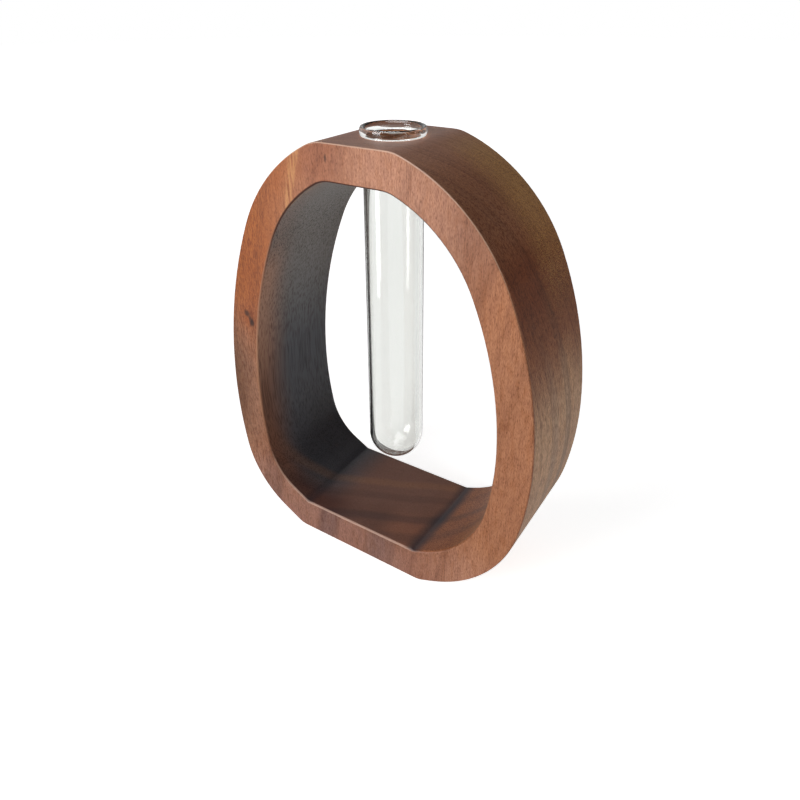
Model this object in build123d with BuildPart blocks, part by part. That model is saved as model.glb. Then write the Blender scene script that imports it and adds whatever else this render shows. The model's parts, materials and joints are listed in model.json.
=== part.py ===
"""Test tube vase: a thick wooden ring that stands on edge, with a glass test tube hung through its crown.

Millimetres. The origin is on the ground under the middle of the ring, +Z is up and -Y is the front.
"""

import os

from build123d import *

# Wooden ring: one block, sawn to a rounded outline and hollowed to an even wall
ring_width = 120.0
ring_height = 150.0
ring_depth = 40.0
ring_wall = 12.0
outline_edge_soft = 0.5  # rounding of the outer edges, front and back
window_edge_soft = 0.9  # rounding of the window's edges, front and back
crown_corner_soft = 15.0  # rounding where the flat top meets the shoulders
foot_corner_soft = 8.0  # rounding where the flat base meets the flanks
floor_crease_soft = 2.0  # rounding of the creases at the ends of the window's floor
ceiling_crease_soft = 12.0  # rounding of the creases at the ends of the window's ceiling

# Right flank: places measured in from the widest line, down from the top and up from the ground
right_waist_height = 64.0
right_shoulder_inset = 10.5
right_shoulder_drop = 34.0
right_crown_reach = 12.0
right_heel_inset = 3.2
right_heel_rise = 37.0
right_toe_inset = 33.0
right_toe_rise = 2.3

# Left flank: the hand-shaped outline stands fuller low down on this side
left_waist_height = 56.0
left_shoulder_inset = 13.0
left_shoulder_drop = 30.8
left_crown_reach = 16.0
left_heel_inset = 2.9
left_heel_rise = 27.8
left_toe_inset = 20.3
left_toe_rise = 4.6

# Glass test tube, hung by its rolled lip
tube_place = -0.5  # where the tube stands across the ring, from its middle
tube_diameter = 19.2
tube_wall = 1.0
tube_floor_gap = 21.5  # air between the tube's bottom and the window's floor
tube_base_thickness = 1.2
lip_diameter = 21.0
lip_height = 3.0
lip_bulge = 0.6  # how far the rounded side of the lip stands out beyond its flat seat
hole_clearance = 0.2  # radial play of the tube in the crown

tube_radius = tube_diameter / 2
bore_radius = tube_radius - tube_wall
lip_radius = lip_diameter / 2
lip_seat_radius = lip_radius - lip_bulge
lip_inner_reach = lip_seat_radius - bore_radius
lip_top = ring_height + lip_height
lip_middle = ring_height + lip_height / 2
tube_length = lip_top - ring_wall - tube_floor_gap
tube_bottom = lip_top - tube_length
tube_floor = tube_bottom + tube_base_thickness


def flank(side, waist, shoulder_inset, shoulder_drop, crown, heel_inset, heel_rise, toe_inset, toe_rise):
    """Draw one flank of the outline, right for side 1 and left for -1; gives its ends on the flats."""
    widest = side * ring_width / 2
    shoulder_point = (widest - side * shoulder_inset, ring_height - shoulder_drop)
    heel_point = (widest - side * heel_inset, heel_rise)
    toe_point = (widest - side * toe_inset, toe_rise)
    upper_side = TangentArc((widest, waist), shoulder_point, tangent=(0, 1))
    shoulder = TangentArc(shoulder_point, (side * crown, ring_height), tangent=upper_side % 1)
    lower_side = TangentArc((widest, waist), heel_point, tangent=(0, -1))
    heel = TangentArc(heel_point, toe_point, tangent=lower_side % 1)
    run = heel % 1
    facet = Line(heel @ 1, heel @ 1 + run * (toe_rise / -run.Y))
    return shoulder @ 1, facet @ 1


with BuildPart() as ring_frame:
    with BuildSketch(Plane.XZ) as profile:
        with BuildLine():
            right_crown, right_foot = flank(
                1,
                right_waist_height,
                right_shoulder_inset,
                right_shoulder_drop,
                right_crown_reach,
                right_heel_inset,
                right_heel_rise,
                right_toe_inset,
                right_toe_rise,
            )
            left_crown, left_foot = flank(
                -1,
                left_waist_height,
                left_shoulder_inset,
                left_shoulder_drop,
                left_crown_reach,
                left_heel_inset,
                left_heel_rise,
                left_toe_inset,
                left_toe_rise,
            )
            Line(right_crown, left_crown)
            Line(left_foot, right_foot)
        make_face()
        offset(amount=-ring_wall, mode=Mode.SUBTRACT)
        fillet(profile.vertices().group_by(Axis.Y)[0], radius=foot_corner_soft)
        fillet(profile.vertices().group_by(Axis.Y)[-1], radius=crown_corner_soft)
        window = profile.wires().sort_by(SortBy.LENGTH)[0]
        fillet(window.vertices().group_by(Axis.Y)[0], radius=floor_crease_soft)
        window = profile.wires().sort_by(SortBy.LENGTH)[0]
        fillet(window.vertices().group_by(Axis.Y)[-1], radius=ceiling_crease_soft)
    extrude(amount=ring_depth / 2, both=True)
    broad_faces = ring_frame.faces().filter_by(Axis.Y)
    fillet([edge for face in broad_faces for edge in face.outer_wire().edges()], radius=outline_edge_soft)
    broad_faces = ring_frame.faces().filter_by(Axis.Y)
    fillet([edge for face in broad_faces for edge in face.inner_wires()[0].edges()], radius=window_edge_soft)
    # The hole in the crown takes the tube and stops its lip
    with Locations((tube_place, 0, ring_height)):
        Hole(radius=tube_radius + hole_clearance, depth=2 * ring_wall)

with BuildPart() as test_tube:
    with BuildSketch(Plane(origin=(tube_place, 0, 0), x_dir=(1, 0, 0), z_dir=(0, -1, 0))):
        with BuildLine():
            base = TangentArc((0, tube_bottom), (tube_radius, tube_bottom + tube_radius), tangent=(1, 0))
            outside = Line(base @ 1, (tube_radius, ring_height))
            Line(outside @ 1, (lip_seat_radius, ring_height))
            EllipticalCenterArc((lip_seat_radius, lip_middle), lip_bulge, lip_height / 2, -90, arc_size=180)
            EllipticalCenterArc((lip_seat_radius, lip_middle), lip_inner_reach, lip_height / 2, 90, arc_size=90)
            bore = Line((bore_radius, lip_middle), (bore_radius, tube_floor + bore_radius))
            bore_end = TangentArc(bore @ 1, (0, tube_floor), tangent=(0, -1))
            Line(bore_end @ 1, base @ 0)
        make_face()
    revolve(axis=Axis((tube_place, 0, 0), (0, 0, 1)))

os.makedirs("parts", exist_ok=True)
ring_frame.part.label = "ring_frame"
test_tube.part.label = "test_tube"
export_step(ring_frame.part, "parts/ring_frame.step")
export_step(test_tube.part, "parts/test_tube.step")
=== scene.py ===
"""Test tube vase: an oiled walnut ring that stands on edge, with a clear glass tube hung in its crown.

Metres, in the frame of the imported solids: the ground is z = 0, +Z is up and the front face looks along -Y.
"""

import json
from functools import partial
from math import cos, pi, radians, sin

import bpy
from mathutils import Matrix, Vector


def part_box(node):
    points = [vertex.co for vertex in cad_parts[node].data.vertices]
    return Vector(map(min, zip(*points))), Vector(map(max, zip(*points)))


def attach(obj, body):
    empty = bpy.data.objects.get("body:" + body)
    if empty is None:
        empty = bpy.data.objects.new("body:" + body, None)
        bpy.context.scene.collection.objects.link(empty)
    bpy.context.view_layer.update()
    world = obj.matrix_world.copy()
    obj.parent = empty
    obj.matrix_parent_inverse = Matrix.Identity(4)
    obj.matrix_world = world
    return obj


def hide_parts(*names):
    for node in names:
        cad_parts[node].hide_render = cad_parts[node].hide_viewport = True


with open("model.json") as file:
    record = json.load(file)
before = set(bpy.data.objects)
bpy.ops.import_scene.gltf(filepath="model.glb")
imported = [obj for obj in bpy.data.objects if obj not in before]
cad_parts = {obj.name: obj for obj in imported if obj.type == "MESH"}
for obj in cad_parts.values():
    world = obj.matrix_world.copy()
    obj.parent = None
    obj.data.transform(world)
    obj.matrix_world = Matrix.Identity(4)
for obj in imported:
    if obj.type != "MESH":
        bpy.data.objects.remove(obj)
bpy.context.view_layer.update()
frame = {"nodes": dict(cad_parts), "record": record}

MM = 0.001
RING_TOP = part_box("ring_frame")[1].z
TUBE_LOW, TUBE_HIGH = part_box("test_tube")
STEM_BORE = next(mount for mount in frame["record"]["mounts"] if mount["name"] == "stem_bore")

# Glass tube
BORE_RADIUS = STEM_BORE["dims"]["r_mm"] * MM
TUBE_WALL = 1.0 * MM
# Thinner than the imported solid's 1.2 mm, which bent a brown image of the window's floor into the glass
TUBE_BASE_THICKNESS = 0.7 * MM
LIP_BULGE = 0.6 * MM
TURN_STEPS = 128
BASE_STEPS = 24
LIP_STEPS = 12
WELD_DISTANCE = 0.001 * MM
SMOOTH_ANGLE = radians(50)

# Walnut: sizes of its figure, in millimetres
FIBRE_SWAY = 6.0  # how far the fibre wanders
SWAY_SIZE = (40.0, 40.0, 110.0)
GRAIN_SIZES = {
    "drift": (22.0, 30.0, 80.0),
    "mottle": (1.6, 1.6, 6.0),
    "fleck": (0.5, 0.5, 2.4),
    "streak": (0.4, 0.4, 14.0),
    "dash": (0.2, 0.2, 4.0),
    "pore": (0.5, 0.5, 0.8),
    "fibre": (0.15, 0.15, 1.0),
    "speck": (0.2, 0.2, 0.3),
}
LAYER_NORMAL = (-0.41, 0.91, 0.11)  # direction across the growth layers
LAYER_SIZES = {"broad": 2.4, "fine": 0.4}

# Walnut: places on the ring, in millimetres
RING_CENTRE = (-3.0, 0.0, 75.0)
KNOT = (-49.6, 83.4)

# Floor and room
FLOOR_RADIUS = 3.0
BRIGHT_SIDE = (-0.95, 0, 0.3)  # where the room looks brightest in gloss

# Camera, fitted to the ring's front and rear outlines; the image is 800 by 800 pixels
IMAGE_SIZE = 800
FOCAL_PIXELS = 697.54
OPTICAL_CENTRE = (402.03, 278.68)
CAMERA_AZIMUTH = radians(33.104)
CAMERA_ELEVATION = radians(22.496)
CAMERA_ROLL = radians(-0.334)
CAMERA_DISTANCE = 230.11 * MM
CAMERA_AIM = Vector((2.396, 0.0, 103.033)) * MM


def linear(code):
    """Linear colour of an sRGB hex code, with alpha."""
    channels = [int(code[i : i + 2], 16) / 255 for i in (1, 3, 5)]
    return [c / 12.92 if c <= 0.04045 else ((c + 0.055) / 1.055) ** 2.4 for c in channels] + [1.0]


# Inputs known by number: MapRange reads 0 between 1 and 2 and gives 3 to 4, and Mix takes its share in 0,
# numbers in 2 and 3 and colours in 6 and 7
def add_node(tree, kind, inputs=None, out=0, **settings):
    """Add a node with its settings, each input a value or the socket that feeds it, and give one output."""
    node = tree.nodes.new("ShaderNode" + kind)
    for name, value in settings.items():
        setattr(node, name, value)
    for name, value in (inputs or {}).items():
        if isinstance(value, bpy.types.NodeSocket):
            tree.links.new(value, node.inputs[name])
        else:
            node.inputs[name].default_value = value
    return node.outputs[out] if node.outputs else node


def new_material(name):
    """A material with an empty node tree, and what adds nodes to it."""
    material = bpy.data.materials.new(name)
    material.use_nodes = True
    material.node_tree.nodes.clear()
    return material, partial(add_node, material.node_tree)


def oiled_walnut():
    """Oiled walnut, sawn and sanded: a red-brown ground that runs from orange to rosy and plum, growth
    layers that cut it aslant, close hairlines along the fibre, painted shade and a painted grey sheen in the
    window, painted highlights on the upper edges, painted shade along edges that face down and on the
    upper outer side, painted light on the lower outer side, and a low satin sheen."""
    material, add = new_material("oiled_walnut")
    smooth = {"interpolation_type": "SMOOTHSTEP"}
    coats = []

    mm = add("VectorMath", {0: add("TexCoord", out="Object"), "Scale": 1 / MM}, operation="SCALE")
    x = add("SeparateXYZ", {0: mm}, "X")
    y = add("SeparateXYZ", {0: mm}, "Y")
    z = add("SeparateXYZ", {0: mm}, "Z")
    sway = add("Mapping", {"Vector": mm, "Scale": [1 / size for size in SWAY_SIZE]})
    sway = add("TexNoise", {"Vector": sway, "Scale": 1.0, "Detail": 2.0}, "Color")
    sway = add("VectorMath", {0: sway, 1: [0.5] * 3}, operation="SUBTRACT")
    sway = add("VectorMath", {0: sway, "Scale": FIBRE_SWAY}, operation="SCALE")
    bent = add("VectorMath", {0: mm, 1: sway}, operation="ADD")
    reach = add("VectorMath", {0: bent, 1: LAYER_NORMAL}, "Value", operation="DOT_PRODUCT")
    layers = {}
    for name, size in LAYER_SIZES.items():
        noise = {"W": reach, "Scale": 1 / size, "Detail": 1.0}
        layers[name] = add("TexNoise", noise, noise_dimensions="1D")
    # The grain is drawn coarser than real fibre so that it shows
    grain = {}
    for name, size in GRAIN_SIZES.items():
        place = add("Mapping", {"Vector": bent, "Scale": [1 / length for length in size]})
        grain[name] = add("TexNoise", {"Vector": place, "Scale": 1.0, "Detail": 1.0})

    # The window's faces look back at the middle of the ring, and the rounded edges lie between faces
    normal = add("NewGeometry", out="Normal")
    right = add("SeparateXYZ", {0: normal}, "X")
    forward = add("Math", {0: add("SeparateXYZ", {0: normal}, "Y")}, operation="ABSOLUTE")
    up = add("SeparateXYZ", {0: normal}, "Z")
    outward = add("VectorMath", {0: mm, 1: RING_CENTRE}, operation="SUBTRACT")
    outward = add("VectorMath", {0: outward, 1: (1, 0, 1)}, operation="MULTIPLY")
    outward = add("VectorMath", {0: outward}, operation="NORMALIZE")
    facing = add("VectorMath", {0: outward, 1: normal}, "Value", operation="DOT_PRODUCT")

    # Patches that run through the depth: x, z, half width, half height, colour, strength
    for spot_x, spot_z, half_width, half_height, code, strength in (
        (-14.0, -4.0, 72.0, 56.0, "#986c5b", 1.0),
        (58.0, 36.0, 26.0, 38.0, "#b47c59", 0.9),
        (38.0, 9.0, 20.0, 20.0, "#b88870", 0.5),
        (6.0, 3.0, 12.0, 14.0, "#a87e6c", 0.5),
        (48.0, 118.0, 16.0, 26.0, "#b87a54", 0.5),
        (-56.0, 114.0, 46.0, 58.0, "#a85f28", 1.0),
        (-14.0, 150.0, 20.0, 26.0, "#ab6a48", 0.8),
        (-38.0, 143.0, 22.0, 20.0, "#ae622c", 0.8),
        (32.0, 140.0, 30.0, 34.0, "#a8765d", 0.8),
        (13.0, 152.0, 28.0, 40.0, "#be8668", 1.0),
        (-58.0, 50.0, 26.0, 44.0, "#986c53", 1.0),
        (-65.0, 56.0, 17.0, 46.0, "#70492f", 1.0),
        (-50.0, 12.0, 18.0, 18.0, "#a88070", 0.6),
        (KNOT[0], KNOT[1] + 0.5, 5.0, 6.5, "#9c5426", 0.7),
        (KNOT[0] - 0.9, KNOT[1] + 1.7, 2.0, 1.9, "#2c1a11", 0.8),
        (KNOT[0] + 0.3, KNOT[1] + 0.3, 1.1, 1.4, "#3a2216", 0.7),
        (KNOT[0] + 1.1, KNOT[1] - 1.4, 1.7, 2.6, "#2c1a11", 0.9),
        (-11.4, 145.4, 0.7, 2.0, "#4a2a1e", 0.8),
    ):
        spot = add(
            "Mapping",
            {
                "Vector": mm,
                "Location": (-spot_x / half_width, 0, -spot_z / half_height),
                "Scale": (1 / half_width, 0, 1 / half_height),
            },
        )
        spot = add("VectorMath", {0: spot}, "Value", operation="LENGTH")
        coats.append(("MIX", add("MapRange", {0: spot, 1: 1.0, 2: 0.25, 4: strength}, **smooth), code))

    # Coats of faces, growth layers, grain and edges: blend, colour, strength, and limits of none and of full
    drift, mottle, fleck = grain["drift"], grain["mottle"], grain["fleck"]
    streak, dash, pore = grain["streak"], grain["dash"], grain["pore"]
    fibre, speck = grain["fibre"], grain["speck"]
    flank = (y, -19.9, -18.5)
    inside = (facing, -0.35, -0.8)
    outside = (facing, 0.2, 0.7)
    leftward = (x, -14.0, -34.0)
    edge_start = (forward, 0.2, 0.5)
    edge_end = (forward, 0.98, 0.9)
    lower = (z, 40.0, 14.0)
    for blend, code, strength, limits in (
        ("MULTIPLY", "#fcead0", 1.0, (flank, (x, 10.0, 30.0))),
        # Painted light: these two coats make the lower outer side paler, as bounce and sheen from the floor
        # would
        ("MIX", "#e8bc92", 0.95, (flank, (x, 30.0, 45.0), (z, 98.0, 68.0))),
        ("MIX", "#f0c08e", 0.3, (outside, (x, 30.0, 45.0), (y, 0.0, 4.0), (y, 14.0, 9.0), (z, 98.0, 84.0))),
        # Painted shade: a darker band on the upper outer side
        ("MULTIPLY", "#ccb4a4", 0.8, (flank, (x, 25.0, 45.0), (z, 92.0, 110.0), (z, 132.0, 118.0))),
        ("MIX", "#cc9876", 0.3, (outside, (x, 10.0, 20.0), (z, 118.0, 132.0))),
        ("MIX", "#d8a870", 0.7, ((y, -2.0, 15.0), (x, 10.0, 25.0), (z, 112.0, 138.0))),
        # Painted shade: the inside of the window darkens towards the bottom
        ("MIX", "#66463a", 0.65, (inside, (z, 110.0, 25.0))),
        ("MIX", "#ac7459", 0.55, (inside, (x, 0.0, 10.0), (y, 0.0, -15.0), (z, 20.0, 14.0))),
        ("MIX", "#b67344", 0.5, (inside, (x, 19.0, 25.0), (z, 50.0, 20.0))),
        ("MULTIPLY", "#c0acb0", 0.85, (inside, (x, -6.0, -20.0), (y, -6.0, -15.0), (z, 20.0, 14.0))),
        # Painted light: a lighter band high on the window's left wall
        ("MIX", "#b8927c", 0.9, (inside, (x, -4.0, -24.0), (z, 50.0, 90.0), (z, 120.0, 104.0))),
        # Painted shade with a painted grey sheen over the rear of the window's left wall, a painted grey
        # sheen high on that wall, and painted deep shade at its foot
        ("MIX", "#585a60", 1.0, (inside, (y, -18.0, -2.0), leftward, (z, 190.0, 90.0))),
        ("MIX", "#8a8682", 0.75, (inside, (y, -18.0, -4.0), (x, -4.0, -28.0), (z, 60.0, 105.0))),
        ("MIX", "#86827e", 0.8, (inside, (x, -2.0, -20.0), (z, 100.0, 116.0))),
        ("MIX", "#45454b", 1.0, (inside, (y, -18.0, -2.0), leftward, (z, 46.0, 22.0))),
        ("MIX", "#b07c50", 0.18, ((reach, 7.0, 9.4), (reach, 13.0, 10.6), lower)),
        ("MULTIPLY", "#d8d8e0", 0.5, ((reach, -1.0, 1.4), (reach, 5.0, 2.6), lower)),
        ("MULTIPLY", "#d4dae8", 0.9, ((reach, -13.2, -10.6), (reach, -6.8, -9.4), (z, 180.0, 14.0))),
        ("MULTIPLY", "#d4dae8", 0.75, ((reach, -23.6, -20.7), (reach, -16.4, -19.3), (z, 180.0, 14.0))),
        ("MULTIPLY", "#d0c6c0", 0.45, ((layers["broad"], 0.48, 0.7), (facing, -1.3, -0.3))),
        ("MULTIPLY", "#c4b0a0", 0.45, (outside, (layers["fine"], 0.46, 0.66))),
        ("MULTIPLY", "#e6dcd6", 0.6, ((drift, 0.42, 0.7),)),
        ("MULTIPLY", "#e6e0e2", 0.6, ((mottle, 0.48, 0.74), (facing, -0.95, -0.3))),
        ("MULTIPLY", "#e8dac8", 0.6, ((mottle, 0.52, 0.28), (facing, -0.95, -0.3))),
        ("MULTIPLY", "#d4c8c0", 0.6, ((streak, 0.48, 0.76),)),
        ("MULTIPLY", "#b8a69a", 0.9, ((fibre, 0.42, 0.74), (facing, -0.95, -0.3))),
        ("MULTIPLY", "#b8a090", 0.45, ((dash, 0.58, 0.7), (facing, -0.95, -0.3))),
        ("MULTIPLY", "#c8ae98", 0.8, ((fleck, 0.46, 0.7), (x, -30.0, -46.0), (facing, -0.6, -0.2))),
        ("MULTIPLY", "#b49a84", 0.75, ((fleck, 0.46, 0.7), flank, (x, 10.0, 30.0))),
        ("MULTIPLY", "#c0aca0", 0.6, (inside, (speck, 0.46, 0.66), (z, 30.0, 14.0))),
        ("MULTIPLY", "#a89084", 0.6, (inside, (streak, 0.46, 0.62), (x, 16.0, 24.0), (z, 50.0, 20.0))),
        ("MULTIPLY", "#b8aca6", 0.6, (inside, (streak, 0.46, 0.64), leftward)),
        ("MIX", "#e0a860", 0.8, ((speck, 0.5, 0.66), (y, -4.0, 8.0), (x, 10.0, 25.0), (z, 95.0, 117.0))),
        (
            "MIX",
            "#d09a60",
            0.4,
            ((reach, 5.9, 6.5), (reach, 7.9, 7.1), (streak, 0.6, 0.5), (z, 110.0, 135.0), (x, -5.0, -15.0)),
        ),
        ("MIX", "#241f1d", 0.7, (inside, (pore, 0.6, 0.66), (x, -10.0, -20.0), (z, 98.0, 112.0))),
        # Painted highlights: paler rounded edges where they face up and, on the window's left edge, where
        # they face right; painted shade: a dark line along the window's edges that face down
        ("MIX", "#dcbaa2", 0.5, (edge_start, edge_end, (up, 0.15, 0.5), (z, 60.0, 100.0))),
        ("MIX", "#cfa890", 0.45, (edge_start, edge_end, (up, 0.15, 0.5), (x, 22.0, 15.0))),
        ("MIX", "#c08c6c", 0.5, (edge_start, (facing, -0.2, -0.4), (right, 0.15, 0.4), (z, 20.0, 60.0))),
        ("MIX", "#3a1a14", 0.9, (edge_start, edge_end, (facing, -0.1, -0.4), (up, -0.1, -0.4))),
    ):
        region = strength
        for value, none, full in limits:
            share = add("MapRange", {0: value, 1: none, 2: full}, **smooth)
            region = add("Math", {0: region, 1: share}, operation="MULTIPLY")
        coats.append((blend, region, code))

    # Dark lines along the creases of the window's floor, a burn line in the right crease and painted shade
    # in
    # the left: x, z, half width, strength
    for crease_x, crease_z, half_width, strength in ((19.6, 12.6, 4.6, 0.9), (-28.2, 12.4, 3.2, 0.5)):
        crease = add("Mapping", {"Vector": bent, "Location": (-crease_x, 0, -crease_z), "Scale": (1, 0, 1)})
        crease = add("VectorMath", {0: crease}, "Value", operation="LENGTH")
        crease = add("MapRange", {0: crease, 1: half_width, 2: 0.0, 4: strength}, **smooth)
        share = add("MapRange", dict(enumerate(inside)))
        coats.append(("MIX", add("Math", {0: crease, 1: share}, operation="MULTIPLY"), "#1b1b26"))

    colour = linear("#af7755")
    for blend, share, code in coats:
        colour = add("Mix", {0: share, 6: colour, 7: linear(code)}, 2, data_type="RGBA", blend_type=blend)
    shader = add(
        "BsdfPrincipled",
        {
            "Base Color": colour,
            "Roughness": 0.42,
            "IOR": 1.5,
            "Specular IOR Level": 0.25,
            "Normal": add("Bump", {"Height": fibre, "Strength": 0.15, "Distance": 0.1 * MM}),
        },
    )
    add("OutputMaterial", {"Surface": shader})
    return material


def clear_drawn_glass():
    """Clear drawn glass, fire polished: faintly grey, smooth, with dark refracted lines along its edges."""
    material, add = new_material("clear_drawn_glass")
    shader = add(
        "BsdfPrincipled",
        {"Base Color": linear("#f0f1ef"), "Roughness": 0.0, "IOR": 1.474, "Transmission Weight": 1.0},
    )
    add("OutputMaterial", {"Surface": shader})
    return material


def start_outline(name, point):
    """A new mesh in edit mode with one selected vertex, from which an outline is drawn."""
    bpy.ops.object.select_all(action="DESELECT")
    bpy.ops.mesh.primitive_plane_add(size=MM)
    piece = bpy.context.object
    piece.name = name
    piece.data.name = name
    bpy.ops.object.mode_set(mode="EDIT")
    bpy.ops.mesh.select_mode(type="VERT")
    bpy.ops.mesh.select_all(action="SELECT")
    bpy.ops.mesh.merge(type="CENTER")
    bpy.ops.transform.translate(value=point)
    return piece


def draw_line(x, z):
    """Draw the outline on by this much."""
    bpy.ops.mesh.extrude_vertices_move(TRANSFORM_OT_translate={"value": (x, 0, z)})


def draw_arc(half_width, half_height, start, turn, steps):
    """Draw the outline on along part of an oval, from an angle through a turn, anticlockwise from +X."""
    angles = [start + turn * step / steps for step in range(steps + 1)]
    for here, there in zip(angles, angles[1:]):
        draw_line(half_width * (cos(there) - cos(here)), half_height * (sin(there) - sin(here)))


def glass_tube():
    """Round-bottomed tube with a rolled lip, turned from its outline."""
    axis = (TUBE_LOW.x + TUBE_HIGH.x) / 2
    radius = BORE_RADIUS + TUBE_WALL
    bottom = TUBE_LOW.z
    floor = bottom + TUBE_BASE_THICKNESS
    seat_radius = (TUBE_HIGH.x - TUBE_LOW.x) / 2 - LIP_BULGE
    half_lip = (TUBE_HIGH.z - RING_TOP) / 2
    tube = start_outline("glass_tube", (axis, 0, bottom))
    draw_arc(radius, radius, -pi / 2, pi / 2, BASE_STEPS)
    draw_line(0, RING_TOP - bottom - radius)
    draw_line(seat_radius - radius, 0)
    draw_arc(LIP_BULGE, half_lip, -pi / 2, pi, 2 * LIP_STEPS)
    draw_arc(seat_radius - BORE_RADIUS, half_lip, pi / 2, pi / 2, LIP_STEPS)
    draw_line(0, floor + BORE_RADIUS - RING_TOP - half_lip)
    draw_arc(BORE_RADIUS, BORE_RADIUS, 0, -pi / 2, BASE_STEPS)
    bpy.ops.mesh.select_all(action="SELECT")
    bpy.ops.mesh.spin(steps=TURN_STEPS, angle=2 * pi, center=(axis, 0, 0), axis=(0, 0, 1))
    bpy.ops.mesh.select_all(action="SELECT")
    bpy.ops.mesh.remove_doubles(threshold=WELD_DISTANCE)
    bpy.ops.mesh.normals_make_consistent(inside=False)
    bpy.ops.object.mode_set(mode="OBJECT")
    bpy.ops.object.shade_smooth_by_angle(angle=SMOOTH_ANGLE)
    tube.data.materials.append(clear_drawn_glass())
    return tube


def by_ray(add, diffuse, glossy, seen):
    """A strength with one value for light on matt surfaces, one for sheen, and one for the eye and glass."""
    glossy_ray = add("LightPath", out="Is Glossy Ray")
    camera_ray = add("LightPath", out="Is Camera Ray")
    glass_ray = add("LightPath", out="Is Transmission Ray")
    seen_ray = add("Math", {0: camera_ray, 1: glass_ray})
    strength = add("Mix", {0: glossy_ray, 2: diffuse, 3: glossy})
    return add("Mix", {0: seen_ray, 2: strength, 3: seen})


def white_floor():
    """Matt white sheet that keeps the shadow of the ring, lights it from below and runs out to white."""
    material, add = new_material("matt_white_sheet")
    spread = add("VectorMath", {0: add("TexCoord", out="Object")}, "Value", operation="LENGTH")
    # By distance from the middle: what the sheet adds to sheen, and how white it looks
    sheet = add("MapRange", {0: spread, 1: 0.28, 2: 0.2, 3: 0.1, 4: 0.25})
    glow = add("MapRange", {0: spread, 1: 0.3, 2: 0.9, 3: 0.8, 4: 1.0})
    matt = add("BsdfDiffuse", {"Color": linear("#e6e6e6")})
    white = add("Emission", {"Color": linear("#ffffff"), "Strength": by_ray(add, 0.3, sheet, glow)})
    add("OutputMaterial", {"Surface": add("AddShader", {0: matt, 1: white})})
    bpy.ops.object.select_all(action="DESELECT")
    bpy.ops.mesh.primitive_circle_add(vertices=96, radius=FLOOR_RADIUS, fill_type="NGON")
    floor = bpy.context.object
    floor.name = "floor"
    floor.data.materials.append(material)


def panel_lamp(name, azimuth, elevation, distance, size, level):
    """Soft panel aimed at the ring, which lights a surface that faces it to this share of its colour."""
    data = bpy.data.lights.new(name, "AREA")
    data.shape = "RECTANGLE"
    data.size, data.size_y = size
    data.energy = level * (pi * distance) ** 2
    lamp = bpy.data.objects.new(name, data)
    bpy.context.collection.objects.link(lamp)
    towards = Vector((sin(azimuth) * cos(elevation), -cos(azimuth) * cos(elevation), sin(elevation)))
    lamp.location = Vector((0, 0, RING_TOP / 2)) + towards * distance
    lamp.rotation_euler = towards.to_track_quat("Z", "Y").to_euler()
    return lamp


def studio_light():
    """A large front lamp from the left, a weak fill from the right, two panels that light no matt surface,
    and a dim white room."""
    # Azimuth, elevation, distance, size and level of each lamp
    panel_lamp("front_lamp", radians(-26), radians(17), 1.6, (0.8, 0.8), 0.8)
    upright = panel_lamp("upright_panel", radians(-32), radians(-5), 0.2, (0.05, 0.09), 0.25)
    overhead = panel_lamp("overhead_panel", radians(-20), radians(75), 0.9, (0.9, 0.9), 1.9)
    for lamp in (upright, overhead):
        lamp.visible_diffuse = False
    fill = panel_lamp("fill_lamp", radians(62), radians(8), 1.2, (0.6, 0.6), 0.11)
    fill.visible_glossy = False
    world = bpy.data.worlds.new("white_room")
    bpy.context.scene.world = world
    world.use_nodes = True
    world.node_tree.nodes.clear()
    add = partial(add_node, world.node_tree)
    direction = add("TexCoord", out="Generated")
    side = add("VectorMath", {0: direction, 1: BRIGHT_SIDE}, "Value", operation="DOT_PRODUCT")
    window = add("MapRange", {0: side, 1: 0.1, 2: 0.6, 3: 0.1, 4: 0.6})
    room = add("Background", {"Color": linear("#ffffff"), "Strength": by_ray(add, 0.18, window, 1.0)})
    add("OutputWorld", {"Surface": room})


def photo_camera():
    """Camera at the fitted place, with the optical centre above the middle of the picture."""
    data = bpy.data.cameras.new("camera")
    data.sensor_width = 36.0
    data.lens = FOCAL_PIXELS * data.sensor_width / IMAGE_SIZE
    data.shift_x = 0.5 - OPTICAL_CENTRE[0] / IMAGE_SIZE
    data.shift_y = OPTICAL_CENTRE[1] / IMAGE_SIZE - 0.5
    data.clip_start = 10 * MM
    camera = bpy.data.objects.new("camera", data)
    bpy.context.collection.objects.link(camera)
    level = cos(CAMERA_ELEVATION)
    back = Vector((sin(CAMERA_AZIMUTH) * level, -cos(CAMERA_AZIMUTH) * level, sin(CAMERA_ELEVATION)))
    right = Vector((0, 0, 1)).cross(back).normalized()
    turn = Matrix((right, back.cross(right), back)).transposed() @ Matrix.Rotation(CAMERA_ROLL, 3, "Z")
    camera.matrix_world = Matrix.Translation(CAMERA_AIM + back * CAMERA_DISTANCE) @ turn.to_4x4()
    bpy.context.scene.camera = camera


frame["nodes"]["ring_frame"].material_slots[0].material = oiled_walnut()

tube = glass_tube()
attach(tube, "tube")
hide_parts("test_tube")

white_floor()
studio_light()
photo_camera()
bpy.context.scene.view_settings.view_transform = "Standard"
